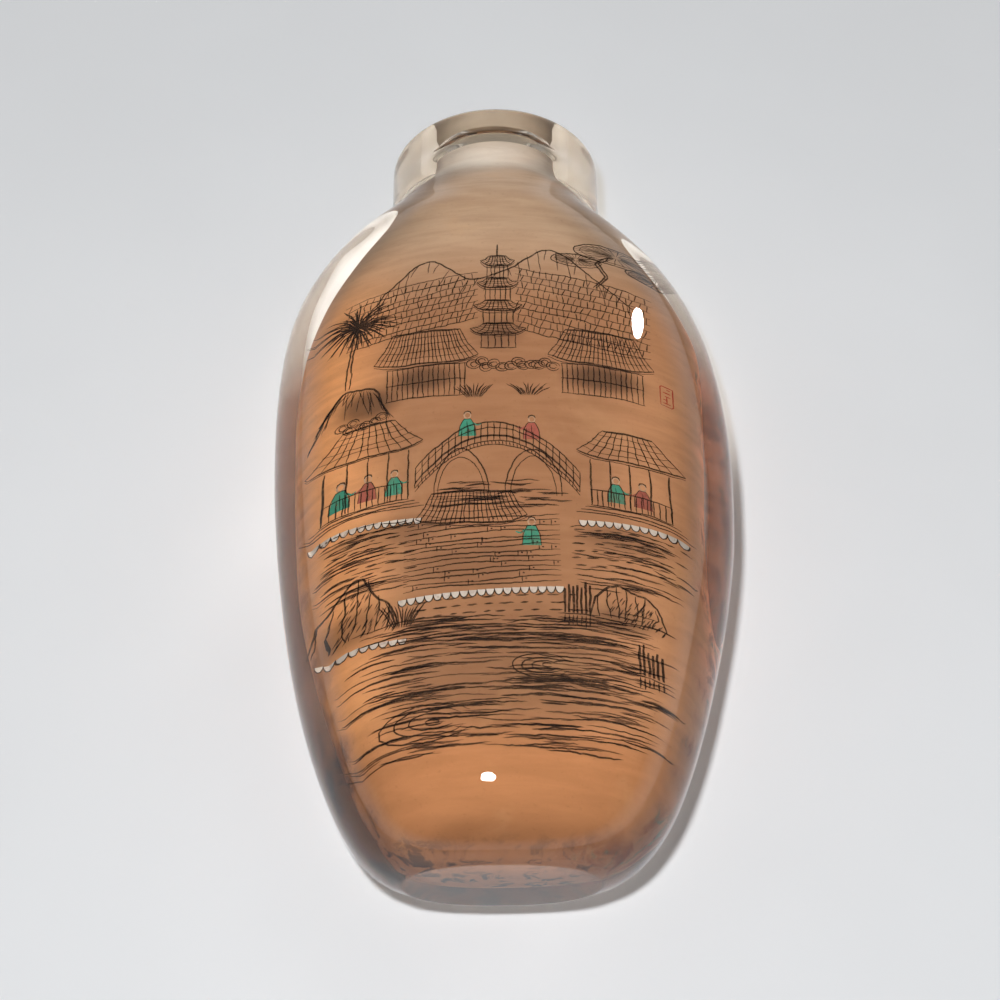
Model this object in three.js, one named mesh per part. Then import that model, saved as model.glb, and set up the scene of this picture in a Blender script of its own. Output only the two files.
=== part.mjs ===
// Snuff bottle of clear glass with a painted inside, lying on its back.
// Millimetres, +Z up. The bottle's own axis runs along +Y from its foot to its mouth,
// +X is the right flank and +Z leaves the middle of the painted front.
// Origin: below the middle of the bottle, on the surface that it rests on.
import * as THREE from 'three';
import { mergeVertices } from 'three/addons/utils/BufferGeometryUtils.js';

// ---- driving dimensions -----------------------------------------------------------------
const bottleLength = 76;       // foot to lip
const neckRadius = 10.6;
const lipRounding = 0.7;       // outer edge of the lip
const boreRadius = 3.4;        // the hole drilled down the neck
const mouthRounding = 0.6;     // edge of the mouth
const floorHeight = 4.5;       // glass left under the hollow
const restDepth = 12.2;        // from the axis to the flat panel that the back rests on
const squareness = 2.3;        // exponent of the body's oval: 2 is an ellipse
const filletSharpness = 20;    // higher is a tighter curve where the shoulders meet the neck
const tubeStart = 44;          // the round neck and bore take part from here up,
const tubeFull = 54;           // and wholly from here

// Height above the foot, then the right half-width, the left half-width and the half-depth.
// The flanks differ a little, as on a bottle that is ground by hand.
const outsideStations = [
  [0, 8.3, 8.3, 5.6],
  [0.7, 10.1, 9.9, 7.0],
  [2, 12.0, 11.6, 8.3],
  [4, 13.7, 13.1, 9.4],
  [7, 15.4, 14.7, 10.4],
  [12, 17.3, 16.6, 11.4],
  [18, 19.0, 18.2, 12.0],
  [25, 20.6, 19.5, 12.35],
  [32, 21.6, 20.4, 12.5],
  [39, 21.9, 20.95, 12.5],
  [45, 21.6, 21.1, 12.5],
  [51, 20.7, 20.8, 12.5],
  [56, 19.1, 19.85, 12.35],
  [60, 16.9, 18.1, 12.0],
  [63.5, 13.9, 15.6, 11.35],
  [66, 11.2, 12.9, 10.5],
  [68.5, 7.5, 9.5, 9.6],
  [72, 3, 3, 3],
  [bottleLength, 1, 1, 1],
];
const hollowStations = [
  [floorHeight, 0.1, 0.1, 0.1],
  [4.7, 6.0, 5.6, 3.2],
  [5.6, 9.2, 8.0, 5.0],
  [7.5, 11.3, 9.3, 6.6],
  [11, 13.0, 10.6, 7.9],
  [15, 14.1, 11.8, 8.8],
  [20, 15.0, 13.1, 9.5],
  [26, 15.5, 14.3, 9.9],
  [32, 15.8, 15.0, 10.1],
  [39, 16.2, 15.5, 10.2],
  [45, 16.3, 15.7, 10.2],
  [51, 15.9, 15.3, 9.9],
  [56, 14.1, 14.0, 9.3],
  [60, 11.5, 11.8, 8.5],
  [63.5, 8.8, 9.2, 7.3],
  [67, 6.4, 6.8, 6.0],
  [70, 4.6, 4.6, 4.6],
  [73, 2.5, 2.5, 2.5],
  [bottleLength, 1, 1, 1],
];

// ---- smoothness of the mesh -------------------------------------------------------------
const sides = 56;
const footRings = 3;
const outsideRings = 36;
const outsideCrowding = 1.3;   // above 1 the rings crowd towards the foot
const roundingRings = 3;
const hollowRings = 30;
const hollowCrowding = 1.6;    // above 1 they crowd towards the hollow's floor
const ringClearance = 0.05;    // first ring above the middle of the hollow's floor
const boreRingClearance = 1;   // last ring of the bore below the mouth's rounding
const mergeDistance = 1e-4;

// ---- curves -----------------------------------------------------------------------------

// A monotone cubic through the points: its slope at a point is the weighted harmonic mean
// of the slopes on both sides, or zero where they differ in sign, so it never overshoots.
function smoothCurve(xs, ys) {
  const last = xs.length - 1;
  const steps = xs.slice(1).map((x, i) => x - xs[i]);
  const slopes = steps.map((step, i) => (ys[i + 1] - ys[i]) / step);
  const tangents = ys.map((_, i) => {
    if (i === 0) return slopes[0];
    if (i === last) return slopes[last - 1];
    if (slopes[i - 1] * slopes[i] <= 0) return 0;
    const before = steps[i - 1] + 2 * steps[i];
    const after = 2 * steps[i - 1] + steps[i];
    return (before + after) / (after / slopes[i - 1] + before / slopes[i]);
  });
  return (x) => {
    let i = 0;
    while (i < last - 1 && x > xs[i + 1]) i += 1;
    const t = (x - xs[i]) / steps[i];
    const start = ys[i] * (1 + 2 * t) * (1 - t) ** 2 + tangents[i] * steps[i] * t * (1 - t) ** 2;
    const end = ys[i + 1] * t * t * (3 - 2 * t) + tangents[i + 1] * steps[i] * t * t * (t - 1);
    return start + end;
  };
}

function curvesThrough(stations) {
  const heights = stations.map((station) => station[0]);
  const [right, left, depth] = [1, 2, 3].map((column) =>
    smoothCurve(heights, stations.map((station) => station[column])));
  return { right, left, depth };
}

// How much of the round tube (neck or bore) takes part at a height.
function tubeShare(height) {
  return THREE.MathUtils.smoothstep(height, tubeStart, tubeFull);
}

// One ring of the outside or of the hollow: a superellipse with its own right and left
// half-widths, joined with the round tube by a high power mean, which leaves a fillet.
function ovalRing(height, curves, tubeRadius) {
  const right = curves.right(height);
  const left = curves.left(height);
  const depth = curves.depth(height);
  const tube = tubeRadius * tubeShare(height);
  const meanWidth = Math.max((right + left) / 2, tube);
  const meanDepth = Math.max(depth, tube);
  const ring = [];
  for (let side = 0; side < sides; side += 1) {
    const turn = (2 * Math.PI * side) / sides;
    const angle = Math.atan2(meanDepth * Math.sin(turn), meanWidth * Math.cos(turn));
    const width = Math.cos(angle) > 0 ? right : left;
    const oval = (Math.abs(Math.cos(angle) / width) ** squareness
      + Math.abs(Math.sin(angle) / depth) ** squareness) ** (-1 / squareness);
    const reach = (oval ** filletSharpness + tube ** filletSharpness) ** (1 / filletSharpness);
    ring.push([reach * Math.cos(angle), height, reach * Math.sin(angle)]);
  }
  return ring;
}

function roundRing(height, radius) {
  const ring = [];
  for (let side = 0; side < sides; side += 1) {
    const angle = (2 * Math.PI * side) / sides;
    ring.push([radius * Math.cos(angle), height, radius * Math.sin(angle)]);
  }
  return ring;
}

// Heights between two ends, closer together near the first end.
function crowdedHeights(first, last, count, crowding) {
  return Array.from({ length: count }, (_, i) =>
    first + (last - first) * (i / (count - 1)) ** crowding);
}

// ---- the rings, from the middle of the foot over the lip and down to the hollow's floor ---

function footAndOutside() {
  const curves = curvesThrough(outsideStations);
  const edge = ovalRing(0, curves, neckRadius);
  const foot = Array.from({ length: footRings }, (_, i) => {
    const size = (i + 1) / (footRings + 1);
    return edge.map(([x, y, z]) => [x * size, y, z * size]);
  });
  const wall = crowdedHeights(0, bottleLength - lipRounding, outsideRings, outsideCrowding)
    .map((height) => ovalRing(height, curves, neckRadius));
  return [...foot, ...wall];
}

function lipAndMouth() {
  const rings = [];
  for (let i = 1; i <= roundingRings; i += 1) {
    const turn = (Math.PI / 2) * (i / roundingRings);
    rings.push(roundRing(
      bottleLength - lipRounding * (1 - Math.sin(turn)),
      neckRadius - lipRounding * (1 - Math.cos(turn)),
    ));
  }
  for (let i = 0; i <= roundingRings; i += 1) {
    const turn = (Math.PI / 2) * (i / roundingRings);
    rings.push(roundRing(
      bottleLength - mouthRounding * (1 - Math.cos(turn)),
      boreRadius + mouthRounding * (1 - Math.sin(turn)),
    ));
  }
  return rings;
}

function boreAndHollow() {
  const curves = curvesThrough(hollowStations);
  const top = bottleLength - mouthRounding - boreRingClearance;
  return crowdedHeights(floorHeight + ringClearance, top, hollowRings, hollowCrowding)
    .reverse()
    .map((height) => ovalRing(height, curves, boreRadius));
}

// The back is ground flat where the bottle rests.
function flattenBack([x, y, z]) {
  return [x, y, Math.max(z, -restDepth)];
}

// ---- one closed skin over all the rings --------------------------------------------------

function closedSkin(rings) {
  const points = [[0, 0, 0], ...rings.flat(), [0, floorHeight, 0]];
  const lastPoint = points.length - 1;
  const lastRing = 1 + (rings.length - 1) * sides;
  const faces = [];
  for (let side = 0; side < sides; side += 1) {
    const next = (side + 1) % sides;
    faces.push(0, 1 + side, 1 + next);
    for (let ring = 0; ring < rings.length - 1; ring += 1) {
      const low = 1 + ring * sides;
      const high = low + sides;
      faces.push(low + side, high + side, high + next);
      faces.push(low + side, high + next, low + next);
    }
    faces.push(lastPoint, lastRing + next, lastRing + side);
  }
  const geometry = new THREE.BufferGeometry();
  geometry.setAttribute('position', new THREE.Float32BufferAttribute(points.flat(), 3));
  geometry.setIndex(faces);
  return mergeVertices(geometry, mergeDistance);
}

function bottleGeometry() {
  const rings = [...footAndOutside().map((ring) => ring.map(flattenBack)),
    ...lipAndMouth(), ...boreAndHollow()];
  const geometry = closedSkin(rings);
  geometry.computeBoundingBox();
  const { min, max } = geometry.boundingBox;
  geometry.translate(-(min.x + max.x) / 2, -bottleLength / 2, restDepth);
  return geometry;
}

// ---- the object ----------------------------------------------------------------------------

const paintedGlass = new THREE.MeshStandardMaterial({
  color: 0xb98a62,
  roughness: 0.08,
  metalness: 0,
});

const bottle = new THREE.Mesh(bottleGeometry(), paintedGlass);
bottle.name = 'bottle';

const snuffBottle = new THREE.Group();
snuffBottle.add(bottle);

export default snuffBottle;
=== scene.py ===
"""Inside-painted glass snuff bottle lying on its back.

Lengths below are in millimetres unless a name says otherwise. h is the distance along the bottle from
its foot, x goes to the right flank and z leaves the middle of the painted front, all from the axis.
"""
import math

import bpy
import numpy as np
from mathutils import Matrix, Vector


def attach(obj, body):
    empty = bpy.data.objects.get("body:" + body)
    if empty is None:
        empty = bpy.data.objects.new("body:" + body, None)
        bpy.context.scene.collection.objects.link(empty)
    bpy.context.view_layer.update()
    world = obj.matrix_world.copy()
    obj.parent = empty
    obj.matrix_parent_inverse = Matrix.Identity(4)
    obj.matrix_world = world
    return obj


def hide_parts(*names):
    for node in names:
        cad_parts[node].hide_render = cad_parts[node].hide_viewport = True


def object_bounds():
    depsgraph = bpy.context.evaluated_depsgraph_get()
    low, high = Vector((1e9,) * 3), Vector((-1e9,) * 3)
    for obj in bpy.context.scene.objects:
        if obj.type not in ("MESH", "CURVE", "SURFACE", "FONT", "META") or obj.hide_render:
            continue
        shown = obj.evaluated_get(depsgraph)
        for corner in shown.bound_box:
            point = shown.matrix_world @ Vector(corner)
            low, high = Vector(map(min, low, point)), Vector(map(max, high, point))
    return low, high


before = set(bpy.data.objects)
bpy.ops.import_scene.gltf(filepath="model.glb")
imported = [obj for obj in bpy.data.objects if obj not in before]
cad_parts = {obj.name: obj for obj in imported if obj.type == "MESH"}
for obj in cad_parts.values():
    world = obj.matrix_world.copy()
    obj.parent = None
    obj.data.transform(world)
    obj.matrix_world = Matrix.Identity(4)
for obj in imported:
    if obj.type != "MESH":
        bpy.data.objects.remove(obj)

cad_low, cad_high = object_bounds()
MM = 0.001

# ---- sizes ----------------------------------------------------------------------------------
LENGTH = 76.0
NECK_RADIUS = 10.6
LIP_ROUNDING = 0.7
BORE_RADIUS = 3.4
MOUTH_ROUNDING = 0.6
FLOOR_HEIGHT = 4.5
REST_DEPTH = 12.2
SQUARENESS = 2.3
FILLET_SHARPNESS = 20.0
TUBE_START, TUBE_FULL = 44.0, 54.0

# light: strengths, the flash's place beside the lens in metres, and the window's place
FLASH_STRENGTH = 30.6
FLASH_BESIDE_LENS = (-0.010, 0.017, 0.0)
WALL_STRENGTH, CEILING_STRENGTH = 1.1, 0.15
WINDOW_AZIMUTH, WINDOW_ELEVATION, WINDOW_DISTANCE = 137.1, 29.7, 0.4
# heights over which the glass and the paint come to let shadow rays through
GLASS_OPENS = (38.0, 48.0)
PAINT_OPENS = (43.0, 51.0)


# height, right half-width, left half-width, half-depth
OUTSIDE = np.array([
    [0, 8.3, 8.3, 5.6], [0.7, 10.1, 9.9, 7.0], [2, 12.0, 11.6, 8.3], [4, 13.7, 13.1, 9.4],
    [7, 15.4, 14.7, 10.4], [12, 17.3, 16.6, 11.4], [18, 19.0, 18.2, 12.0], [25, 20.6, 19.5, 12.35],
    [32, 21.6, 20.4, 12.5], [39, 21.9, 20.95, 12.5], [45, 21.6, 21.1, 12.5], [51, 20.7, 20.8, 12.5],
    [56, 19.1, 19.85, 12.35], [60, 16.9, 18.1, 12.0], [63.5, 13.9, 15.6, 11.35],
    [66, 11.2, 12.9, 10.5], [68.5, 7.5, 9.5, 9.6], [72, 3, 3, 3], [LENGTH, 1, 1, 1]])
HOLLOW = np.array([
    [FLOOR_HEIGHT, 0.1, 0.1, 0.1], [4.7, 6.0, 5.6, 3.2], [5.6, 9.2, 8.0, 5.0], [7.5, 11.3, 9.3, 6.6],
    [11, 13.0, 10.6, 7.9], [15, 14.1, 11.8, 8.8], [20, 15.0, 13.1, 9.5], [26, 15.5, 14.3, 9.9],
    [32, 15.8, 15.0, 10.1], [39, 16.2, 15.5, 10.2], [45, 16.3, 15.7, 10.2], [51, 15.9, 15.3, 9.9],
    [56, 14.1, 14.0, 9.3], [60, 11.5, 11.8, 8.5], [63.5, 8.8, 9.2, 7.3], [67, 6.4, 6.8, 6.0],
    [70, 4.6, 4.6, 4.6], [73, 2.5, 2.5, 2.5], [LENGTH, 1, 1, 1]])

SIDES = 192
AXIS_X = cad_high.x / MM - OUTSIDE[:, 1].max()   # the axis in the row's frame
AXIS_Z = REST_DEPTH


# ---- small tools ----------------------------------------------------------------------------
def smoothstep(low, high, value):
    """0 below low, 1 above high, and 3t^2 - 2t^3 between them."""
    t = np.clip((np.asarray(value, float) - low) / (high - low), 0.0, 1.0)
    return t * t * (3.0 - 2.0 * t)


def colour(red, green, blue):
    """A screen colour (0 to 255) as linear light."""
    c = np.array([red, green, blue]) / 255.0
    return np.where(c <= 0.04045, c / 12.92, ((c + 0.055) / 1.055) ** 2.4)


def placed(points):
    """Points (x, h, z) about the bottle's axis, as metres in the row's frame."""
    p = np.asarray(points, float)
    moved = np.stack([p[..., 0] + AXIS_X, p[..., 1] - LENGTH / 2, p[..., 2] + AXIS_Z], -1)
    return moved * MM


def monotone(xs, ys, x):
    """Monotone cubic through (xs, ys): the slope at a point is the weighted harmonic mean of the
    slopes on both sides, or zero where they differ in sign."""
    step = np.diff(xs)
    slope = np.diff(ys) / step
    tangent = np.zeros_like(ys)
    before, after = 2 * step[1:] + step[:-1], step[1:] + 2 * step[:-1]
    level = slope[:-1] * slope[1:] <= 0
    safe = np.where(level[:, None], 1.0, np.stack([slope[:-1], slope[1:]], -1))
    mean = (before + after) / (before / safe[:, 0] + after / safe[:, 1])
    tangent[1:-1] = np.where(level, 0.0, mean)
    tangent[0], tangent[-1] = slope[0], slope[-1]
    i = np.clip(np.searchsorted(xs, x) - 1, 0, len(xs) - 2)
    t = (x - xs[i]) / step[i]
    start = ys[i] * (1 + 2 * t) * (1 - t) ** 2 + tangent[i] * step[i] * t * (1 - t) ** 2
    end = ys[i + 1] * t * t * (3 - 2 * t) + tangent[i + 1] * step[i] * t * t * (t - 1)
    return start + end


class Profile:
    """Right half-width, left half-width and half-depth by height: the monotone cubic through the
    stations, blurred over a few millimetres of height away from its two ends."""

    FINE = 0.05
    BLUR = 1.4

    def __init__(self, stations, low, high):
        self.h = np.arange(stations[0, 0], LENGTH + self.FINE, self.FINE)
        reach = np.arange(-6 * self.BLUR, 6 * self.BLUR + self.FINE, self.FINE)
        bell = np.exp(-0.5 * (reach / self.BLUR) ** 2)
        bell /= bell.sum()
        share = smoothstep(low, low + 5, self.h) * (1 - smoothstep(high - 5, high, self.h))
        self.rows = []
        for column in (1, 2, 3):
            raw = monotone(stations[:, 0], stations[:, column], self.h)
            wide = np.pad(raw, len(reach) // 2, mode="edge")
            blurred = np.convolve(wide, bell, mode="valid")[:len(raw)]
            self.rows.append(raw * (1 - share) + blurred * share)

    def at(self, height):
        return [np.maximum(np.interp(height, self.h, row), 1e-3) for row in self.rows]


outside = Profile(OUTSIDE, 5, 65)
hollow = Profile(HOLLOW, 8, 64)


# ---- surfaces -------------------------------------------------------------------------------
def oval_rings(heights, profile, tube_radius):
    """Rings (height, turn) of a superellipse |x/width|^n + |z/depth|^n = 1 with its own right and
    left widths, joined with a round tube by the power mean (oval^p + tube^p)^(1/p)."""
    h = np.asarray(heights, float)[:, None]
    right, left, depth = profile.at(h)
    tube = tube_radius * smoothstep(TUBE_START, TUBE_FULL, h)
    turn = np.linspace(0, 2 * np.pi, SIDES, endpoint=False)[None, :]
    wide = np.maximum((right + left) / 2, tube)
    deep = np.maximum(depth, tube)
    angle = np.arctan2(deep * np.sin(turn), wide * np.cos(turn))
    cos, sin = np.cos(angle), np.sin(angle)
    width = np.where(cos > 0, right, left)
    oval = (np.abs(cos / width) ** SQUARENESS + np.abs(sin / depth) ** SQUARENESS)
    oval = oval ** (-1 / SQUARENESS)
    p = FILLET_SHARPNESS
    reach = (oval ** p + tube ** p) ** (1 / p)
    return np.stack([reach * cos, h + 0 * cos, reach * sin], -1)


def round_rings(radii, heights):
    """Circles (ring, turn) of the given radii at the given heights."""
    turn = np.linspace(0, 2 * np.pi, SIDES, endpoint=False)[None, :]
    r = np.asarray(radii, float)[:, None]
    h = np.asarray(heights, float)[:, None]
    return np.stack([r * np.cos(turn), h + 0 * turn, r * np.sin(turn)], -1)


def crowded(first, last, count, crowding):
    """Heights from first to last, closer together near first where crowding is above 1."""
    return first + (last - first) * np.linspace(0, 1, count) ** crowding


def bottle_rings():
    """All rings from the middle of the foot over the lip and down to the hollow's floor, and the
    number of the first ring of the hollow."""
    edge = oval_rings([0.0], outside, NECK_RADIUS)
    foot = [edge * np.array([size, 1, size]) for size in (0.15, 0.35, 0.55, 0.75, 0.9, 0.97)]
    wall = oval_rings(crowded(0, LENGTH - LIP_ROUNDING, 205, 1.25), outside, NECK_RADIUS)
    quarter = np.linspace(0, np.pi / 2, 7)
    lip = round_rings(NECK_RADIUS - LIP_ROUNDING * (1 - np.cos(quarter[1:])),
                      LENGTH - LIP_ROUNDING * (1 - np.sin(quarter[1:])))
    face_radii = np.linspace(NECK_RADIUS - LIP_ROUNDING, BORE_RADIUS + MOUTH_ROUNDING, 6)[1:-1]
    face = round_rings(face_radii, np.full(4, LENGTH))
    mouth = round_rings(BORE_RADIUS + MOUTH_ROUNDING * (1 - np.sin(quarter)),
                        LENGTH - MOUTH_ROUNDING * (1 - np.cos(quarter)))
    down = crowded(FLOOR_HEIGHT + 0.02, LENGTH - MOUTH_ROUNDING - 0.4, 185, 1.55)[::-1]
    inside = oval_rings(down, hollow, BORE_RADIUS)
    outer = np.concatenate(foot + [wall])
    # the back is ground flat where it rests; the soft maximum leaves no hard crease
    soft = 0.03
    outer[..., 2] = -REST_DEPTH + soft * np.logaddexp(0, (outer[..., 2] + REST_DEPTH) / soft)
    rings = np.concatenate([outer, lip, face, mouth, inside])
    return rings, len(rings) - len(inside)


def mesh_object(name, points, faces, materials, face_materials=None):
    """An object from points in metres and faces given as an array of corners or as a list."""
    mesh = bpy.data.meshes.new(name)
    mesh.from_pydata(np.asarray(points).tolist(), [], [list(map(int, f)) for f in faces])
    for material in materials:
        mesh.materials.append(material)
    if face_materials is not None:
        mesh.polygons.foreach_set("material_index", np.asarray(face_materials, np.int32))
    mesh.polygons.foreach_set("use_smooth", np.ones(len(mesh.polygons), bool))
    mesh.update()
    piece = bpy.data.objects.new(name, mesh)
    bpy.context.scene.collection.objects.link(piece)
    return piece


def point_colours(piece, name, colours):
    """Stores one linear colour per point of the mesh."""
    layer = piece.data.color_attributes.new(name, "FLOAT_COLOR", "POINT")
    rgba = np.ones((len(piece.data.vertices), 4))
    rgba[:, :colours.shape[1]] = colours
    layer.data.foreach_set("color", rgba.ravel())


# ---- shader tools ---------------------------------------------------------------------------
class Value:
    """A shader socket that adds, multiplies and compares as a number does."""

    def __init__(self, shader, socket):
        self.shader, self.socket = shader, socket

    def _maths(self, operation, *inputs):
        return self.shader.node("ShaderNodeMath", {"operation": operation}, dict(enumerate(inputs)))

    def __add__(self, other):
        return self._maths("ADD", self, other)

    def __radd__(self, other):
        return self._maths("ADD", other, self)

    def __sub__(self, other):
        return self._maths("SUBTRACT", self, other)

    def __rsub__(self, other):
        return self._maths("SUBTRACT", other, self)

    def __mul__(self, other):
        return self._maths("MULTIPLY", self, other)

    def __rmul__(self, other):
        return self._maths("MULTIPLY", other, self)

    def __truediv__(self, other):
        return self._maths("DIVIDE", self, other)

    def most(self, other):
        return self._maths("MAXIMUM", self, other)

    def between(self, low, high, low_value=0.0, high_value=1.0):
        """Smooth step from low_value at low to high_value at high."""
        return self.shader.node("ShaderNodeMapRange", {"interpolation_type": "SMOOTHSTEP"}, {
            "Value": self, "From Min": low, "From Max": high,
            "To Min": low_value, "To Max": high_value})


class Shader:
    """One node material. node() makes any node from its type, settings and inputs."""

    def __init__(self, name):
        self.material = bpy.data.materials.new(name)
        self.material.use_nodes = True
        self.tree = self.material.node_tree
        self.principled = self.tree.nodes["Principled BSDF"]

    def put(self, node, inputs):
        for key, given in inputs.items():
            socket = node.inputs[key]
            if isinstance(given, Value):
                self.tree.links.new(given.socket, socket)
            elif isinstance(given, (tuple, list, np.ndarray)) and socket.type == "RGBA":
                socket.default_value = (*[float(c) for c in given[:3]], 1.0)
            else:
                socket.default_value = given

    def node(self, kind, settings=None, inputs=None, output=0):
        made = self.tree.nodes.new(kind)
        for key, given in (settings or {}).items():
            setattr(made, key, given)
        self.put(made, inputs or {})
        return Value(self, made.outputs[output])

    def place(self):
        return self.node("ShaderNodeTexCoord", output="Object")

    def axes(self):
        """x, h and z in millimetres about the bottle's axis."""
        parts = self.tree.nodes.new("ShaderNodeSeparateXYZ")
        self.put(parts, {0: self.place()})
        x, y, z = (Value(self, socket) for socket in parts.outputs)
        return x / MM - AXIS_X, y / MM + LENGTH / 2, z / MM - AXIS_Z

    def stretched(self, scale, turned=(0.0, 0.0, 0.0)):
        """Object coordinates scaled to the given cycles per metre along each axis."""
        return self.node("ShaderNodeMapping", {}, {
            "Vector": self.place(), "Scale": scale, "Rotation": turned})

    def noise(self, scale, detail=4.0, roughness=0.55, distortion=0.0, turned=(0.0, 0.0, 0.0)):
        vector = self.stretched((scale,) * 3 if np.isscalar(scale) else scale, turned)
        return self.node("ShaderNodeTexNoise", {}, {
            "Vector": vector, "Scale": 1.0, "Detail": detail, "Roughness": roughness,
            "Distortion": distortion})

    def attribute(self, name):
        return self.node("ShaderNodeAttribute", {"attribute_name": name}, output="Color")

    def mix(self, factor, first, second):
        made = self.tree.nodes.new("ShaderNodeMix")
        made.data_type = "RGBA"
        colours = [s for s in made.inputs if s.type == "RGBA"]
        for socket, given in zip(colours, (first, second)):
            if isinstance(given, Value):
                self.tree.links.new(given.socket, socket)
            else:
                socket.default_value = (*[float(c) for c in given[:3]], 1.0)
        self.put(made, {0: factor})
        return Value(self, [s for s in made.outputs if s.type == "RGBA"][0])

    def bump(self, height, distance, strength=1.0):
        return self.node("ShaderNodeBump", {}, {
            "Height": height, "Distance": distance, "Strength": strength}, output="Normal")

    def cover(self, share, first, second):
        """Ends the material in a mix of two shaders: share 0 is the first, 1 the second."""
        mixed = self.tree.nodes.new("ShaderNodeMixShader")
        second = second.socket if isinstance(second, Value) else second
        self.put(mixed, {0: share})
        self.tree.links.new(first, mixed.inputs[1])
        self.tree.links.new(second, mixed.inputs[2])
        self.tree.links.new(mixed.outputs[0], self.tree.nodes["Material Output"].inputs["Surface"])

    def finish(self, **inputs):
        self.put(self.principled, {key.replace("_", " "): given for key, given in inputs.items()})
        return self.material


# ---- materials ------------------------------------------------------------------------------
def clear_glass():
    """Polished crystal with a smoky neck, very slight hand-ground waves and fine rubbing marks."""
    s = Shader("clear_glass")
    x, h, z = s.axes()
    smoke = h.between(68.5, 73.2)
    cloud = s.noise(90.0, 3.0)
    neck = s.mix(cloud.between(0.3, 0.7), colour(146, 131, 113), colour(164, 151, 133))
    body = s.mix(s.noise(60.0, 2.0).between(0.35, 0.65), colour(252, 250, 247), colour(255, 254, 252))
    tint = s.mix(smoke, body, neck)
    rub = s.noise((900.0, 5000.0, 900.0), 3.0).between(0.62, 0.9) * 0.04
    waves = s.noise(70.0, 1.5)
    s.finish(Base_Color=tint, Roughness=rub, IOR=1.5, Transmission_Weight=1.0,
             Normal=s.bump(waves, 0.00003, 0.5))
    # Stands in for light that thick glass bends: shadow rays pass on their way out of the glass,
    # which lights the paint, and everywhere above GLASS_OPENS, which lights the floor.
    shadow = s.node("ShaderNodeLightPath", output="Is Shadow Ray")
    leaving = s.node("ShaderNodeNewGeometry", output="Backfacing")
    through = s.node("ShaderNodeBsdfTransparent", {}, {"Color": colour(244, 240, 234)})
    s.cover(shadow * leaving.most(h.between(*GLASS_OPENS)), s.principled.outputs[0], through)
    return s.material


def painted_ground():
    """Matte paint laid on the wall of the hollow: the colours of its points, with the streaks of a
    broad brush, pale and dark grains, and red and green mottling where the back is painted."""
    s = Shader("painted_ground")
    base = s.attribute("ground")
    marks = s.tree.nodes.new("ShaderNodeSeparateColor")
    s.put(marks, {0: s.attribute("marks")})
    mottle, dark, green = (Value(s, socket) for socket in marks.outputs)
    streaks = s.noise((140.0, 900.0, 140.0), 5.0, 0.6, 0.3)
    cloud = s.noise(130.0, 4.0, 0.6, 0.4)
    grain = s.noise(2600.0, 3.0, 0.7)
    shade = s.mix(streaks.between(0.3, 0.7, 0.0, 0.22), base, colour(120, 78, 46))
    shade = s.mix(cloud.between(0.52, 0.75, 0.0, 0.2), shade, colour(214, 166, 118))
    shade = s.mix(grain.between(0.58, 0.8, 0.0, 0.25), shade, colour(96, 62, 40))
    blots = s.noise((420.0, 330.0, 420.0), 6.0, 0.68, 0.8)
    shade = s.mix(blots.between(0.45, 0.62) * mottle, shade, colour(112, 56, 38))
    spots = s.noise((520.0, 260.0, 520.0), 5.0, 0.7, 1.4, (0.3, 0.8, 0.1))
    shade = s.mix(spots.between(0.54, 0.66) * green, shade, colour(92, 104, 84))
    pits = s.noise((640.0, 480.0, 640.0), 6.0, 0.72, 0.6, (0.9, 0.2, 0.5))
    shade = s.mix(pits.between(0.5, 0.6) * dark, shade, colour(62, 58, 60))
    s.finish(Base_Color=shade, Roughness=0.9, Specular_IOR_Level=0.0,
             Normal=s.bump(grain, 0.00003, 0.4))
    # Stands in for light that the shoulders bend round the hollow onto the floor.
    x, h, z = s.axes()
    shadow = s.node("ShaderNodeLightPath", output="Is Shadow Ray")
    clear = s.node("ShaderNodeBsdfTransparent")
    s.cover(shadow * h.between(*PAINT_OPENS), s.principled.outputs[0], clear)
    return s.material


def ink_and_colour():
    """Thin brushed ink and colour: each point's colour, broken where the brush ran dry."""
    s = Shader("brushed_ink")
    dry = s.noise((1500.0, 1500.0, 1500.0), 4.0, 0.65)
    pool = s.noise(500.0, 3.0)
    ink = s.mix(pool.between(0.4, 0.75, 0.0, 0.3), s.attribute("ink"), colour(128, 92, 66))
    strength = s.node("ShaderNodeAttribute", {"attribute_name": "ink"}, output="Alpha")
    s.finish(Base_Color=ink, Roughness=0.85, Specular_IOR_Level=0.0)
    clear = s.node("ShaderNodeBsdfTransparent")
    s.cover(strength * dry.between(0.25, 0.5, 0.55, 1.0), clear.socket, s.principled.outputs[0])
    return s.material


def pale_floor():
    s = Shader("pale_floor")
    tone = s.mix(s.noise(25.0, 3.0).between(0.3, 0.7), colour(231, 231, 231), colour(234, 234, 234))
    return s.finish(Base_Color=tone, Roughness=0.85, Specular_IOR_Level=0.1)


# ---- the painted wall -----------------------------------------------------------------------
# place (x, h), half-width, half-height and depth of each wash
WASHES = [(-11.2, 41.6, 3.0, 2.0, 0.75), (-6.4, 43.4, 3.2, 1.5, 0.7), (9.4, 43.6, 3.6, 1.6, 0.75),
          (0.0, 48.2, 2.6, 2.2, 0.4), (-9.0, 28.2, 5.0, 1.6, 0.35), (10.6, 27.4, 4.0, 1.6, 0.35),
          (-1.8, 24.6, 6.0, 2.6, 0.3), (-11.8, 20.4, 2.8, 1.8, 0.55), (9.6, 20.0, 3.2, 1.4, 0.5),
          (1.0, 16.0, 9.0, 6.0, 0.28)]


def blend(amount, first, second):
    """Mixes two colours, or arrays of colours, by an array of amounts."""
    a = np.asarray(amount, float)[..., None]
    return first * (1 - a) + second * a


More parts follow.
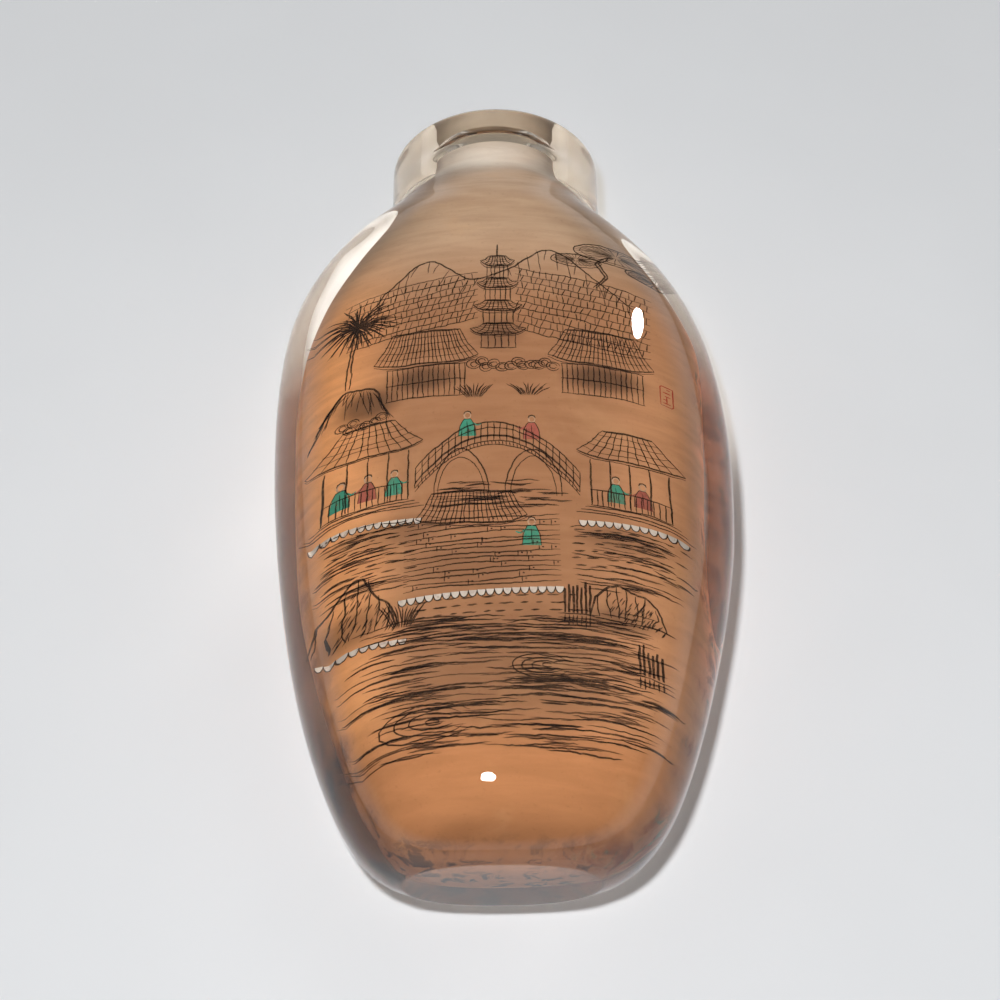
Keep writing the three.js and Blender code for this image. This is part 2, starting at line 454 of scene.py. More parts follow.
def wall_colours(x, h, z):
    """The ground's colour on the wall of the hollow, with painted light in parts of it, and how much
    mottling lies there.
    """
    tan, dull = colour(238, 166, 108), colour(166, 120, 86)
    pale, haze = colour(200, 168, 138), colour(214, 190, 168)
    width = np.interp(h, hollow.h, (hollow.rows[0] + hollow.rows[1]) / 2)
    # the tan is the paint's own colour; its brighter orange towards the flanks and the duller brown in
    # the middle are painted light, standing in for light coming through the thin paint at the edges
    across = np.abs(x) / np.maximum(width, 1.0)
    edge = blend(smoothstep(-6, 6, x), tan, colour(200, 144, 102))
    front = blend(smoothstep(0.45, 0.95, across), dull, edge)
    front = blend(smoothstep(14, 8, h), front, colour(188, 128, 84))
    front = blend(smoothstep(50, 62, h), front, pale)
    front = blend(smoothstep(64, 72, h), front, haze)
    front = blend(smoothstep(69, 72, h), front, colour(216, 205, 192))
    right_back, left_back = colour(236, 158, 116), colour(220, 168, 138)
    back = blend(smoothstep(-3, 5, x), left_back, right_back)
    back = blend(smoothstep(22, 15, h), back, colour(152, 106, 82))
    # painted light: the back turns near-white above the shoulders, standing in for the bright floor seen
    # through the clear glass there
    back = blend(smoothstep(51, 58, h), back, colour(238, 226, 214))
    back = blend(smoothstep(70, 73, h), back, colour(206, 184, 166))
    ragged = 0.8 * np.sin(0.9 * h) + 0.6 * np.sin(2.3 * h + 1.0)
    behind = smoothstep(1.6, -3.4, z + ragged * (h < 52))
    ground = blend(behind, front, back)
    # soft washes of thin ink under the hillside, the pavilions and the quay
    for wash_x, wash_h, across, up, amount in WASHES:
        near = np.hypot((x - wash_x) / across, (h - wash_h) / up)
        share = amount * smoothstep(1.25, 0.4, near) * (1 - behind)
        ground = blend(share, ground, colour(62, 46, 36))
    marks = np.zeros(x.shape + (3,))
    marks[..., 0] = behind * smoothstep(54, 46, h) * (0.3 + 0.5 * smoothstep(0, 6, x))
    marks[..., 1] = behind * smoothstep(24, 18, h) * smoothstep(13, 6, np.abs(x + 2))
    marks[..., 2] = behind * smoothstep(2, 8, x) * smoothstep(60, 50, h)
    return ground, marks


# ---- the picture on the wall ----------------------------------------------------------------
INK = colour(44, 30, 22)
TEAL = colour(62, 148, 122)
ROSE = colour(168, 92, 78)
RED = colour(182, 66, 48)
WHITE = colour(222, 214, 202)


class Brush:
    """Gathers brush strokes. A stroke is a path of (x, h) points with a width that tapers towards
    its ends; it becomes a thin ribbon that lies on the glass side of the painted wall."""

    STEP = 0.28      # spacing along a stroke
    LIFT = 0.02      # first layer above the ground
    LAYER = 0.004

    def __init__(self, seed):
        self.random = np.random.RandomState(seed)
        self.points, self.faces, self.inks, self.count = [], [], [], 0

    def stroke(self, path, width=0.13, ink=INK, strength=0.85, taper=0.5, shake=0.05, layer=1):
        """Lays a stroke: the path is resampled, shaken a little and given the width
        width (1 - taper (2t - 1)^4), with a small uneven swell along it."""
        path = np.asarray(path, float)
        length = np.r_[0, np.cumsum(np.hypot(*np.diff(path, axis=0).T))]
        n = max(3, int(length[-1] / self.STEP) + 2)
        t = np.linspace(0, 1, n)
        line = np.stack([np.interp(t * length[-1], length, path[:, k]) for k in (0, 1)], -1)
        if shake:
            wander = np.cumsum(self.random.normal(0, shake * 0.5, (n, 2)), 0)
            line = line + wander - np.linspace(wander[0], wander[-1], n)
        along = np.gradient(line, axis=0)
        along /= np.maximum(np.hypot(*along.T), 1e-9)[:, None]
        across = np.stack([-along[:, 1], along[:, 0]], -1)
        swell = 1 - taper * np.abs(2 * t - 1) ** 4
        swell *= 1 + 0.18 * np.interp(t, np.linspace(0, 1, 6), self.random.uniform(-1, 1, 6))
        half = 0.5 * width * swell[:, None]
        self.ribbon(line + across * half, line - across * half, ink, strength, layer)

    def ribbon(self, first, second, ink, strength, layer):
        """A strip between two rows of points, in one colour."""
        n = len(first)
        flat = np.stack([first, second], 1).reshape(-1, 2)
        lift = np.full((len(flat), 1), self.LIFT + layer * self.LAYER)
        self.points.append(np.hstack([flat, lift]))
        i = self.count + 2 * np.arange(n - 1)
        self.faces.append(np.stack([i, i + 2, i + 3, i + 1], -1))
        self.inks.append(np.tile([*ink, strength], (len(flat), 1)))
        self.count += len(flat)

    def patch(self, outline, ink, strength=0.9, layer=0, rows=7):
        """Fills a simple outline (points above and below a middle line) with one strip, sliced
        from left to right."""
        outline = np.asarray(outline, float)
        left, right = outline[:, 0].min(), outline[:, 0].max()
        xs = np.linspace(left + 0.02, right - 0.02, max(rows, int((right - left) / 0.2)))
        closed = np.vstack([outline, outline[:1]])
        tops, bottoms = [], []
        for x in xs:
            a, b = closed[:-1], closed[1:]
            crosses = (a[:, 0] - x) * (b[:, 0] - x) <= 0
            run = np.where(np.abs(b[:, 0] - a[:, 0]) < 1e-9, 1e-9, b[:, 0] - a[:, 0])
            hs = (a[:, 1] + (x - a[:, 0]) / run * (b[:, 1] - a[:, 1]))[crosses]
            tops.append(hs.max())
            bottoms.append(hs.min())
        for k in range(2):
            # two halves keep the strip close to the curved wall
            middle = (np.array(tops) + np.array(bottoms)) / 2
            upper = tops if k == 0 else middle
            lower = middle if k == 0 else bottoms
            self.ribbon(np.stack([xs, upper], -1), np.stack([xs, lower], -1), ink, strength, layer)

    def arc(self, x, h, across, up, start=180, end=0, **style):
        """A stroke along part of an ellipse, in degrees from the right."""
        angle = np.radians(np.linspace(start, end, 14))
        self.stroke(np.stack([x + across * np.cos(angle), h + up * np.sin(angle)], -1), **style)

    def piece(self, name, material):
        flat = np.concatenate(self.points)
        points = placed(on_wall(flat[:, 0], flat[:, 1], flat[:, 2]))
        faces = np.concatenate(self.faces)
        made = mesh_object(name, points, faces, [material])
        point_colours(made, "ink", np.concatenate(self.inks))
        return made


def on_wall(x, h, lift):
    """Points on the front of the hollow's wall: z = depth (1 - |x/width|^n)^(1/n), moved out along
    the wall's normal by lift."""
    def depth(x, h):
        right, left, deep = hollow.at(h)
        width = np.where(x > 0, right, left)
        inner = 1 - np.clip(np.abs(x) / width, 0, 0.995) ** SQUARENESS
        return deep * inner ** (1 / SQUARENESS)
    small = 0.02
    z = depth(x, h)
    slope_x = (depth(x + small, h) - depth(x - small, h)) / (2 * small)
    slope_h = (depth(x, h + small) - depth(x, h - small)) / (2 * small)
    normal = np.stack([-slope_x, -slope_h, np.ones_like(z)], -1)
    normal /= np.linalg.norm(normal, axis=-1, keepdims=True)
    return np.stack([x, h, z], -1) + normal * lift[:, None]


def wave_path(x0, x1, h, rise, waves, phase=0.0, slant=0.0):
    t = np.linspace(0, 1, 24)
    return np.stack([x0 + (x1 - x0) * t,
                     h + slant * t + rise * np.sin(2 * np.pi * waves * t + phase)], -1)


# each motif takes the brush first, then its place (x to the right, h upwards)
def hill_line(b, knots, width=0.16):
    """A ridge through the knots, with short folds that hang from it."""
    knots = np.asarray(knots, float)
    xs = np.linspace(knots[0, 0], knots[-1, 0], 60)
    hs = monotone(knots[:, 0], knots[:, 1], xs)
    b.stroke(np.stack([xs, hs], -1), width=width, shake=0.08)
    for i in range(2, 58, 2):
        drop = b.random.uniform(1.2, 3.2)
        lean = b.random.uniform(-0.9, 0.5) + 0.5 * np.sign(xs[i] - xs[30])
        b.stroke([(xs[i], hs[i] - 0.1), (xs[i] + lean * 0.5, hs[i] - drop * 0.5),
                  (xs[i] + lean, hs[i] - drop)], width=0.1, strength=0.7, taper=0.9)


def terraces(b, x0, x1, top, bottom, rows, columns, sag=0.8, lean=0.0):
    """A hillside of small fields: bowed rows crossed by short walls."""
    def level(t, x):
        u = (x - x0) / (x1 - x0)
        return top + (bottom - top) * t - sag * (1 - (2 * u - 1) ** 2) * (0.3 + 0.7 * t) + lean * u
    for i in range(rows + 1):
        xs = np.linspace(x0, x1, 20)
        b.stroke(np.stack([xs, level(i / rows, xs)], -1), width=0.11, shake=0.07,
                 strength=b.random.uniform(0.65, 0.95))
    for i in range(rows):
        offset = 0.5 * (i % 2)
        for j in range(columns):
            x = x0 + (x1 - x0) * (j + offset + b.random.uniform(-0.15, 0.15)) / columns
            if x0 < x < x1:
                tilt = b.random.uniform(-0.35, 0.1)
                b.stroke([(x, level(i / rows, x)), (x + tilt, level((i + 1) / rows, x + tilt))],
                         width=0.1, strength=b.random.uniform(0.6, 0.95))


def tiled_roof(b, x0, x1, ridge, eaves, spread=1.2, tiles=14):
    """A curved roof seen from the front: ridge, swept eaves and rows of tiles."""
    def edge(u):
        return eaves + 0.7 * (2 * u - 1) ** 4
    u = np.linspace(0, 1, 16)
    b.stroke(np.stack([x0 + (x1 - x0) * u, 0 * u + ridge], -1), width=0.22)
    low = np.stack([x0 - spread + (x1 - x0 + 2 * spread) * u, edge(u)], -1)
    b.stroke(low, width=0.17)
    b.stroke(low - [0, 0.22], width=0.09)
    for t in np.linspace(0, 1, tiles):
        top = (x0 + (x1 - x0) * t, ridge)
        foot = (x0 - spread + (x1 - x0 + 2 * spread) * t, edge(t))
        middle = ((top[0] + foot[0]) / 2 - 0.12 * (2 * t - 1), (top[1] + foot[1]) / 2 - 0.15)
        b.stroke([top, middle, foot], width=0.1)
    for t in np.linspace(0.2, 0.8, 4):
        row = low * t + np.stack([x0 + (x1 - x0) * u, 0 * u + ridge], -1) * (1 - t)
        b.stroke(row, width=0.08, strength=0.7)


def lattice(b, x0, x1, low, high, columns, rows=2, width=0.1):
    """Posts and rails."""
    for t in np.linspace(0, 1, columns):
        x = x0 + (x1 - x0) * t
        b.stroke([(x, low), (x, high)], width=width * b.random.uniform(0.8, 1.3))
    for t in np.linspace(0, 1, rows):
        h = low + (high - low) * t
        b.stroke([(x0 - 0.1, h), (x1 + 0.1, h)], width=width * 1.2)


def pavilion(b, x, h, width, height):
    """An open pavilion on a low terrace: roof, posts, rail and step lines."""
    half = width / 2
    tiled_roof(b, x - half * 0.55, x + half * 0.55, h + height, h + height * 0.62, half * 0.6, 11)
    for t in np.linspace(-1, 1, 5):
        b.stroke([(x + t * half * 0.85, h + 0.1), (x + t * half * 0.85, h + height * 0.6)],
                 width=0.15)
    lattice(b, x - half * 0.85, x + half * 0.85, h, h + height * 0.2, 15)
    for k in range(3):
        b.stroke([(x - half * (1 + 0.1 * k), h - 0.3 * k - 0.2),
                  (x + half * (1 + 0.1 * k), h - 0.3 * k - 0.2)], width=0.12)


def bridge(b, x0, x1, h, rise, drop=0.0):
    """An arched plank bridge with a railing, its arch and short planks under the deck."""
    u = np.linspace(0, 1, 26)
    xs = x0 + (x1 - x0) * u
    deck = h + rise * (1 - (2 * u - 1) ** 2) + drop * u
    for lift, width in ((0, 0.18), (-0.45, 0.12), (-0.8, 0.1), (1.5, 0.14), (0.85, 0.09)):
        b.stroke(np.stack([xs, deck + lift], -1), width=width)
    for i in range(0, 26):
        b.stroke([(xs[i], deck[i] - 0.45), (xs[i] + 0.04, deck[i] + 1.5)], width=0.1)
    for t in np.linspace(0.02, 0.98, 44):
        x = x0 + (x1 - x0) * t
        top = np.interp(x, xs, deck) - 0.45
        b.stroke([(x, top), (x + 0.05, top - 0.36)], width=0.09)
    for side in (0.28, 0.72):
        x = x0 + (x1 - x0) * side
        b.arc(x, h - 1.6, (x1 - x0) * 0.17, rise * 0.8 + 0.9, width=0.13)
        b.arc(x, h - 1.6, (x1 - x0) * 0.14, rise * 0.7 + 0.7, width=0.09)


def spreading_tree(b, x, h, size, lean=0.3, needles=46):
    """A bare trunk with a fan of long thin leaves all round its head."""
    head = np.array([x + lean * size, h + size])
    for off in (-0.09, 0.09):
        b.stroke([(x + off * 1.6, h), (x + off + lean * size * 0.35, h + size * 0.5),
                  head + [off, 0]], width=0.14, shake=0.07)
    for i in range(needles):
        angle = 2 * np.pi * i / needles + b.random.uniform(-0.08, 0.08)
        reach = size * b.random.uniform(0.32, 0.62)
        tip = head + reach * np.array([np.cos(angle), 0.75 * np.sin(angle)])
        bend = head + 0.5 * (tip - head) + [0, 0.06 * size]
        b.stroke([head, bend, tip], width=0.12, taper=0.95, strength=0.9)


def umbrella_pine(b, x, h, size, crown=1.0):
    """A crooked pine: forked trunk with bark marks and flat oval crowns of fine needles."""
    path = [(x, h), (x + 0.25 * size, h + 0.35 * size), (x + 0.05 * size, h + 0.7 * size),
            (x + 0.3 * size, h + size)]
    for off in (0.0, 0.22):
        b.stroke(np.array(path) + [off, 0], width=0.15, shake=0.08)
    for t in np.linspace(0.08, 0.9, 9):
        px = np.interp(t, [0, 0.35, 0.7, 1], [p[0] for p in path])
        b.arc(px + 0.12, h + t * size, 0.12, 0.1, 200, -20, width=0.07)
    for cx, ch, wide, tall in ((0.3, 1.05, 1.0, 0.26), (-0.25, 0.72, 0.62, 0.18), (0.75, 0.7, 0.5, 0.16)):
        cx, ch = x + cx * size * crown, h + ch * size
        wide, tall = wide * size * 0.6 * crown, tall * size
        b.arc(cx, ch, wide, tall, 0, 360, width=0.11)
        b.arc(cx, ch, wide * 0.88, tall * 0.8, 20, 330, width=0.08, strength=0.7)
        for angle in np.linspace(0, 2 * np.pi, 28, endpoint=False):
            b.stroke([(cx + 0.1 * wide * np.cos(angle), ch + 0.1 * tall * np.sin(angle)),
                      (cx + 0.97 * wide * np.cos(angle), ch + 0.97 * tall * np.sin(angle))],
                     width=0.075, strength=0.75, taper=0.7)


def rock(b, x, h, width, height, seed=0, shade=0.5):
    """A craggy rock: broken outline, inner folds and slanting shadow strokes on one side."""
    r = np.random.RandomState(seed)
    n = 9
    u = np.linspace(0, 1, n)
    crest = np.sin(np.pi * u) ** 0.6 * r.uniform(0.7, 1.0, n)
    xs = x - width / 2 + width * u
    top = np.stack([xs, h + height * crest], -1)
    b.stroke(top, width=0.19, shake=0.1)
    for i in range(1, n - 1):
        b.stroke([top[i], (xs[i] + r.uniform(-0.5, 0.3) * width / 8, h + height * crest[i] * 0.45),
                  (xs[i] + r.uniform(-0.6, 0.6) * width / 8, h + 0.1)], width=0.12, shake=0.1)
    for i in range(int(width * height * 2.2)):
        t = r.uniform(shade * 0.6, 1.0)
        px = x - width / 2 + width * t
        ph = h + r.uniform(0.05, 0.85) * height * np.interp(t, u, crest)
        b.stroke([(px, ph), (px - 0.35, ph - 0.55)], width=0.1, strength=0.75, taper=0.8)


def reeds(b, x, h, width, height, count):
    """A tuft of reeds that fans out from the ground."""
    for t in np.linspace(-1, 1, count):
        reach = height * b.random.uniform(0.6, 1.0)
        b.stroke([(x + t * width * 0.35, h), (x + t * width * 0.7, h + reach * 0.6),
                  (x + t * width + 0.15 * np.sign(t), h + reach)], width=0.11, taper=0.9)


def robed_figure(b, x, h, size, robe, turned=1):
    """A tiny figure in a long robe, drawn in a few touches and with no features."""
    body = [(x - 0.30 * size, h), (x - 0.26 * size, h + 0.42 * size), (x - 0.12 * size, h + 0.72 * size),
            (x + 0.14 * size, h + 0.72 * size), (x + 0.28 * size, h + 0.40 * size),
            (x + 0.32 * size, h)]
    b.patch(body, robe, 0.9, layer=0)
    b.stroke(body, width=0.08, layer=2, shake=0.02)
    b.stroke([(x + 0.1 * turned * size, h + 0.62 * size), (x + 0.36 * turned * size, h + 0.42 * size),
              (x + 0.5 * turned * size, h + 0.5 * size)], width=0.16, ink=robe, layer=1, shake=0.02)
    b.stroke([(x + 0.03 * size, h + 0.05), (x, h + 0.6 * size)], width=0.07, layer=2, shake=0.02)
    b.arc(x + 0.02 * size, h + 0.86 * size, 0.12 * size, 0.14 * size, 0, 360, width=0.16,
          ink=colour(196, 160, 128), layer=1, shake=0.0)
    b.arc(x + 0.02 * size, h + 0.93 * size, 0.13 * size, 0.1 * size, 190, -10, width=0.13, layer=2,
          shake=0.0)


def foam(b, x0, x1, h, count, size, slant):
    """A row of white scallops with an ink edge, as where water meets a bank."""
    for i in range(count):
        t = (i + 0.5) / count
        x = x0 + (x1 - x0) * t
        level = h + slant * t
        half = (x1 - x0) / count / 2
        angle = np.radians(np.linspace(180, 360, 12))
        edge = np.stack([x + half * np.cos(angle), level + size * np.sin(angle)], -1)
        b.patch(edge, WHITE, 0.75, layer=0, rows=5)
        b.stroke(edge, width=0.1, layer=2, shake=0.02)


def ripples(b, x0, x1, low, high, count, reach=(1.5, 5.5), strength=(0.55, 0.95)):
    """Still water: long thin strokes, lightly bowed and tapering to nothing."""
    for _ in range(count):
        h = b.random.uniform(low, high)
        length = b.random.uniform(*reach)
        x = b.random.uniform(x0, max(x1 - length, x0 + 0.1))
        bow = b.random.uniform(-0.25, 0.25)
        b.stroke([(x, h), (x + length * 0.3, h + bow * 0.6), (x + length * 0.65, h + bow),
                  (x + length, h + bow * 0.4)], width=b.random.uniform(0.08, 0.17), taper=0.98,
                 strength=b.random.uniform(*strength))


def eddy(b, x, h, width, height, turns=3):
    """Nested flat rings that open to one side, as water turning round a stake."""
    for k in range(turns):
        s = 1 - 0.27 * k
        b.arc(x + 0.15 * k, h, width * s, height * s, 30, 335, width=0.12, taper=0.8)


def planks(b, x0, x1, low, high, rows, slant=0.0):
    """A boarded quay seen from above: long boards with butt joints and nails."""
    for i in range(rows + 1):
        h = low + (high - low) * i / rows
        b.stroke(wave_path(x0, x1, h, 0.05, 1.2, i, slant), width=0.12, taper=0.7)
    for i in range(rows):
        for _ in range(3):
            x = b.random.uniform(x0 + 0.5, x1 - 0.5)
            h = low + (high - low) * i / rows + slant * (x - x0) / (x1 - x0)
            b.stroke([(x, h), (x, h + (high - low) / rows)], width=0.1)
            b.stroke([(x + 0.25, h + 0.3), (x + 0.42, h + 0.3)], width=0.14)


def stakes(b, x, h, count, height, gap=0.34):
    """A clump of mooring stakes with their broken reflection."""
    for i in range(count):
        px = x + (i - count / 2) * gap
        tall = height * b.random.uniform(0.7, 1.0)
        b.stroke([(px, h), (px + 0.05, h + tall)], width=0.2, taper=0.2)
        b.stroke([(px, h - 0.15), (px - 0.05, h - tall * 0.45)], width=0.14, taper=0.9)
    for k in range(3):
        b.stroke([(x - count * gap * 0.75, h - 0.1 - 0.35 * k),
                  (x + count * gap * 0.7, h - 0.05 - 0.35 * k)], width=0.1, taper=0.9)


def seal_block(b, x, h, size):
    """A small red mark of short bars that spell nothing."""
    b.stroke([(x, h), (x, h + 2.2 * size), (x + size, h + 2.2 * size), (x + size, h), (x, h)],
             width=0.09, ink=RED, shake=0.02)
    for i, (left, right) in enumerate(((0.2, 0.8), (0.2, 0.55), (0.35, 0.8), (0.2, 0.8), (0.5, 0.8))):
        level = h + size * (0.3 + 0.4 * i)
        b.stroke([(x + left * size, level), (x + right * size, level)], width=0.1, ink=RED, shake=0)
    b.stroke([(x + 0.5 * size, h + 0.3 * size), (x + 0.5 * size, h + 1.1 * size)], width=0.09,
             ink=RED, shake=0)


def tower(b, x, h, width, height, floors=4):
    """A slim tower of stacked roofs that grow smaller upwards."""
    for k in range(floors):
        t = k / floors
        half = width / 2 * (1 - 0.5 * t)
        low, high = h + height * t, h + height * (k + 1) / floors
        lattice(b, x - half * 0.7, x + half * 0.7, low, low + (high - low) * 0.6, 6)
        tiled_roof(b, x - half * 0.6, x + half * 0.6, high, low + (high - low) * 0.55, half * 0.55, 9)
    b.stroke([(x, h + height), (x, h + height * 1.14)], width=0.16)


def dashes(b, x0, x1, low, high, rows, slant=0.0):
    """Rows of short level dashes."""
    for i in range(rows):
        h = low + (high - low) * (i + 0.5) / rows
        x = x0 + b.random.uniform(0, 0.8)
        while x < x1:
            length = b.random.uniform(0.5, 1.3)
            level = h + slant * (x - x0) / (x1 - x0)
            b.stroke([(x, level), (x + length, level + 0.06)], width=0.14, taper=0.8,
                     strength=b.random.uniform(0.6, 0.95))
            x += length + b.random.uniform(0.3, 0.8)


def bushes(b, x0, x1, h, count, size=0.6):
    """A hedge of little round scribbles."""
    for i in range(count):
        x = x0 + (x1 - x0) * (i + b.random.uniform(0.2, 0.8)) / count
        level = h + b.random.uniform(-0.4, 0.4)
        for k in range(2):
            b.arc(x, level, size * (1 - 0.4 * k), size * 0.8 * (1 - 0.4 * k), 0, 330, width=0.1)


def picture(material):
    """A lake with hills: terraces, a tower and pines above, a bridge and pavilions in the middle, a
    quay, rocks and open water below."""
    b = Brush(7)
    # far hills and terraces
    hill_line(b, [(-13.0, 50.0), (-9.5, 54.4), (-6.0, 57.2), (-2.5, 54.6), (0.6, 55.6), (4.6, 58.4),
                  (8.6, 55.4), (13.0, 51.6)])
    terraces(b, -13.2, -1.6, 53.6, 48.2, 8, 20, 0.5, 1.6)
    terraces(b, 1.8, 13.6, 55.8, 48.6, 9, 21, 0.7, -1.6)
    tower(b, 0.2, 46.4, 4.4, 10.8)
    umbrella_pine(b, 8.8, 54.0, 4.6, 1.3)
    spreading_tree(b, -13.0, 44.0, 6.6, 0.12, 70)
    tiled_roof(b, -9.2, -3.2, 48.6, 45.0, 1.6, 24)
    tiled_roof(b, 6.2, 12.2, 48.6, 45.0, 1.6, 24)
    lattice(b, -9.6, -2.8, 41.4, 44.8, 16, 3)
    lattice(b, 5.8, 12.8, 41.6, 44.8, 16, 3)
    hill_line(b, [(-15.0, 41.4), (-13.2, 43.8), (-11.0, 43.2), (-9.4, 40.2)], 0.2)
    bushes(b, -2.4, 5.4, 44.6, 12)
    bushes(b, -13.6, -9.8, 39.8, 7, 0.5)
    reeds(b, -2.0, 41.0, 1.6, 1.6, 13)
    reeds(b, 2.8, 41.2, 1.8, 1.4, 13)
    seal_block(b, 14.2, 42.4, 0.95)
    # middle: bridge and two pavilions
    bridge(b, -7.0, 7.0, 32.6, 4.6, -0.6)
    robed_figure(b, -2.6, 37.0, 2.5, TEAL)
    robed_figure(b, 3.0, 36.6, 2.4, ROSE, -1)
    pavilion(b, -11.0, 31.2, 8.0, 8.2)
    robed_figure(b, -13.2, 31.8, 2.6, TEAL)
    robed_figure(b, -11.0, 31.8, 2.5, ROSE, -1)
    robed_figure(b, -8.8, 31.8, 2.4, TEAL)
    pavilion(b, 11.2, 30.4, 7.6, 7.6)
    robed_figure(b, 10.0, 30.9, 2.5, TEAL)
    robed_figure(b, 12.2, 30.9, 2.4, ROSE, -1)
    foam(b, -15.0, -6.4, 29.8, 13, 0.6, -0.6)
    foam(b, 6.8, 15.4, 28.8, 12, 0.6, 0.5)
    dashes(b, -14.6, -7.2, 24.6, 29.2, 6, -0.4)
    ripples(b, -14.6, -6.6, 23.2, 29.4, 50, (1.2, 5.0))
    dashes(b, 6.0, 14.8, 24.2, 28.2, 6, 0.4)
    ripples(b, 6.0, 15.0, 22.4, 28.4, 56, (1.2, 5.0))
    ripples(b, -6.4, 6.8, 29.8, 32.4, 40, (1.5, 4.0))
    # lower middle: quay with a roofed landing
    planks(b, -7.8, 5.2, 22.4, 28.6, 13, 0.6)
    tiled_roof(b, -5.6, 1.2, 31.4, 28.4, 1.3, 24)
    robed_figure(b, 2.8, 26.2, 2.6, TEAL, -1)
    foam(b, -8.2, 5.4, 21.8, 19, 0.6, 0.7)
    rock(b, -11.4, 19.6, 6.6, 5.2, 3)
    rock(b, 10.4, 20.0, 6.0, 3.6, 8)
    reeds(b, -7.8, 19.4, 1.8, 2.6, 15)
    foam(b, -14.0, -7.4, 19.0, 9, 0.5, -0.6)
    stakes(b, 6.6, 20.2, 7, 3.0)
    stakes(b, 12.2, 15.8, 6, 2.6)
    # open water
    dashes(b, -7.6, 6.0, 19.6, 21.6, 3, 0.5)
    ripples(b, -12.4, 13.2, 8.8, 20.0, 230, (2.0, 8.0))
    ripples(b, 0.0, 14.2, 13.0, 21.0, 60, (1.5, 5.0))
    eddy(b, -5.6, 11.4, 3.8, 1.4, 5)
    eddy(b, 3.4, 15.6, 2.4, 0.9, 4)
    piece = b.piece("painted_picture", material)
    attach(piece, "root")
    return piece


# ---- pieces ---------------------------------------------------------------------------------
def glass_bottle(glass, paint):
    """One closed skin: glass outside, over the lip and round the mouth, paint down the hollow."""
    rings, first_inside = bottle_rings()
    count = len(rings)
    points = np.vstack([[[0, 0, 0]], rings.reshape(-1, 3), [[0, FLOOR_HEIGHT, 0]]])
    ring = np.arange(count - 1)[:, None] * SIDES
    side = np.arange(SIDES)[None, :]
    after = (side + 1) % SIDES
    quads = np.stack([1 + ring + side, 1 + ring + SIDES + side,
                      1 + ring + SIDES + after, 1 + ring + after], -1).reshape(-1, 4)
    side, after = side[0], after[0]
    last = 1 + (count - 1) * SIDES
    foot = np.stack([np.zeros(SIDES, int), 1 + side, 1 + after], -1)
    floor = np.stack([np.full(SIDES, len(points) - 1), last + after, last + side], -1)
    inside = np.repeat(np.arange(count - 1) >= first_inside, SIDES)
    kinds = np.concatenate([inside, np.zeros(SIDES), np.ones(SIDES)])
    faces = [*quads.tolist(), *foot.tolist(), *floor.tolist()]
    piece = mesh_object("glass_bottle", placed(points), faces, [glass, paint], kinds)
    ground, marks = wall_colours(points[:, 0], points[:, 1], points[:, 2])
    point_colours(piece, "ground", ground)
    point_colours(piece, "marks", marks)
    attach(piece, "root")
    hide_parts("bottle")
    return piece


def stage_floor():
    size = 3.0
    corners = [(-size, -size, 0), (size, -size, 0), (size, size, 0), (-size, size, 0)]
    floor = mesh_object("floor", corners, [(0, 1, 2, 3)], [pale_floor()])


# ---- camera and lights ----------------------------------------------------------------------
def direction(azimuth, elevation):
    """Unit vector towards the viewer: azimuth 0 is the foot's side, 90 the right flank's."""
    a, e = math.radians(azimuth), math.radians(elevation)
    return Vector((math.sin(a) * math.cos(e), -math.cos(a) * math.cos(e), math.sin(e)))


def camera():
    azimuth, elevation, roll = 0.37, 60.0, math.radians(-1.04)
    distance, lens = 0.1589, 61.2
    target = Vector((AXIS_X + 0.17, -1.16, AXIS_Z)) * MM
    back = direction(azimuth, elevation)
    right = (-back).cross(Vector((0, 0, 1))).normalized()
    up = right.cross(-back)
    across = math.cos(roll) * right + math.sin(roll) * up
    above = -math.sin(roll) * right + math.cos(roll) * up
    data = bpy.data.cameras.new("camera")
    data.sensor_width, data.lens, data.clip_start = 36.0, lens, 0.01
    holder = bpy.data.objects.new("camera", data)
    place = Matrix((across, above, back)).transposed().to_4x4()
    place.translation = target + back * distance
    holder.matrix_world = place
    bpy.context.scene.collection.objects.link(holder)
    bpy.context.scene.camera = holder


def lamp(name, kind, place, energy, **settings):
    """A lamp at a place in metres, turned to the middle of the bottle."""
    data = bpy.data.lights.new(name, kind)
    data.energy = energy
    for key, given in settings.items():
        setattr(data, key, given)
    holder = bpy.data.objects.new(name, data)
    holder.location = place
    towards = Vector(place) - Vector((0, 0, AXIS_Z * MM))
    holder.rotation_euler = towards.to_track_quat("Z", "Y").to_euler()
    bpy.context.scene.collection.objects.link(holder)
    return holder


def glint_only(holder):
    """A lamp that is seen mirrored in the glass and lights nothing else."""
    holder.visible_diffuse = False
    holder.visible_transmission = False
    holder.visible_camera = False


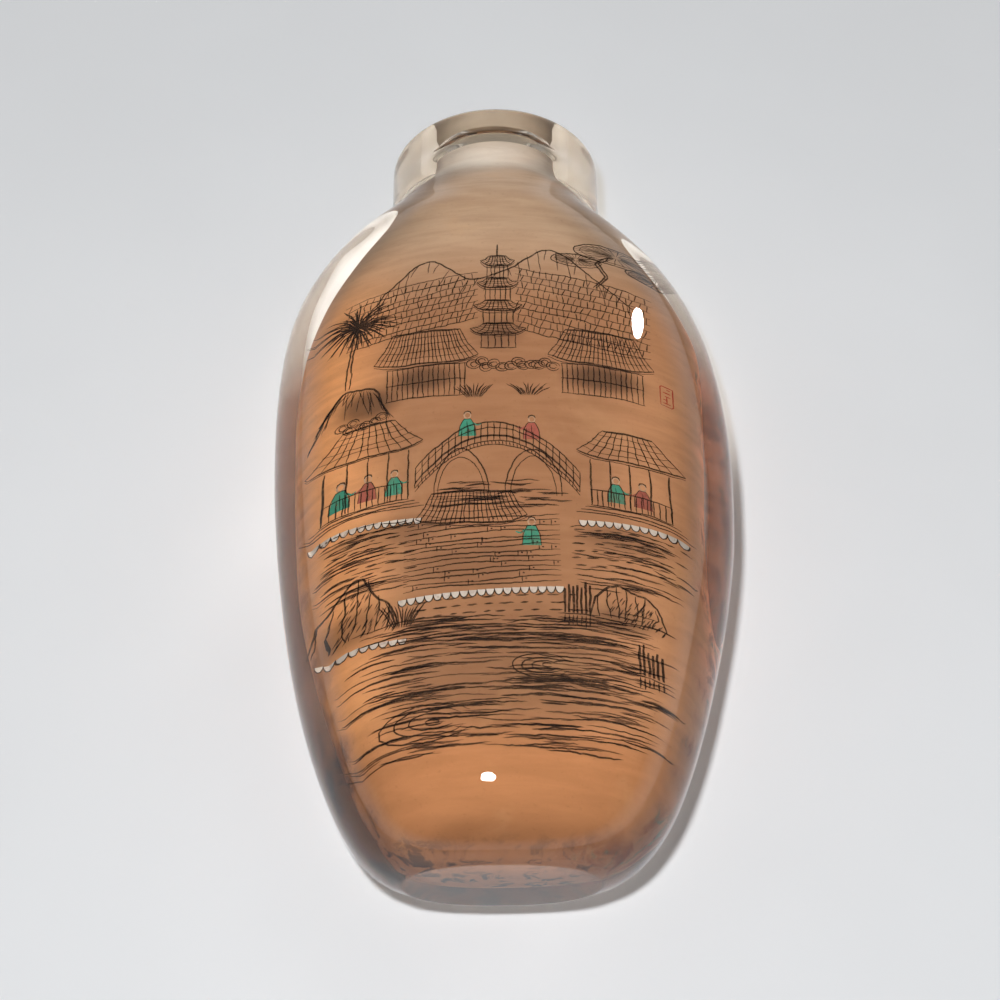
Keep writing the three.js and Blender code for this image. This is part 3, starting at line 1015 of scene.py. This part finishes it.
def room_light():
    """Walls round the table that are brighter than the ceiling."""
    world = bpy.data.worlds.new("studio")
    bpy.context.scene.world = world
    world.use_nodes = True
    sky = world.node_tree.nodes["Background"]
    sky.inputs["Color"].default_value = (1.0, 1.0, 1.0, 1.0)
    nodes, links = world.node_tree.nodes, world.node_tree.links
    height = nodes.new("ShaderNodeSeparateXYZ")
    links.new(nodes.new("ShaderNodeTexCoord").outputs["Generated"], height.inputs["Vector"])
    strength = nodes.new("ShaderNodeMapRange")
    strength.inputs["From Min"].default_value = 0.12
    strength.inputs["From Max"].default_value = 0.35
    strength.inputs["To Min"].default_value = WALL_STRENGTH
    strength.inputs["To Max"].default_value = CEILING_STRENGTH
    links.new(height.outputs["Z"], strength.inputs["Value"])
    links.new(strength.outputs["Result"], sky.inputs["Strength"])
    bpy.context.scene.view_settings.view_transform = "Standard"


def flash_lamp():
    """A flash beside the lens, as bright far away as near, and its mirror image in the glass."""
    lens = bpy.context.scene.camera.matrix_world
    flash_place = lens.translation + lens.to_3x3() @ Vector(FLASH_BESIDE_LENS)
    flash = lamp("flash", "POINT", flash_place, 1.0, shadow_soft_size=0.004)
    flash.data.color = (0.975, 1.0, 1.03)
    flash.data.use_nodes = True
    nodes, links = flash.data.node_tree.nodes, flash.data.node_tree.links
    falloff = nodes.new("ShaderNodeLightFalloff")
    falloff.inputs["Strength"].default_value = FLASH_STRENGTH
    links.new(falloff.outputs["Constant"], nodes["Emission"].inputs["Strength"])
    flash.data.cycles.use_multiple_importance_sampling = False

    glint_only(lamp("flash_glint", "AREA", flash_place, 0.02, size=0.012, shape="DISK"))


def window_lamp():
    window = direction(WINDOW_AZIMUTH, WINDOW_ELEVATION) * WINDOW_DISTANCE
    glint_only(lamp("window_glint", "AREA", window, 0.3, size=0.018, size_y=0.06, shape="ELLIPSE"))


# ---- the scene ------------------------------------------------------------------------------
camera()
room_light()
flash_lamp()
window_lamp()
stage_floor()
glass_bottle(clear_glass(), painted_ground())
picture(ink_and_colour())
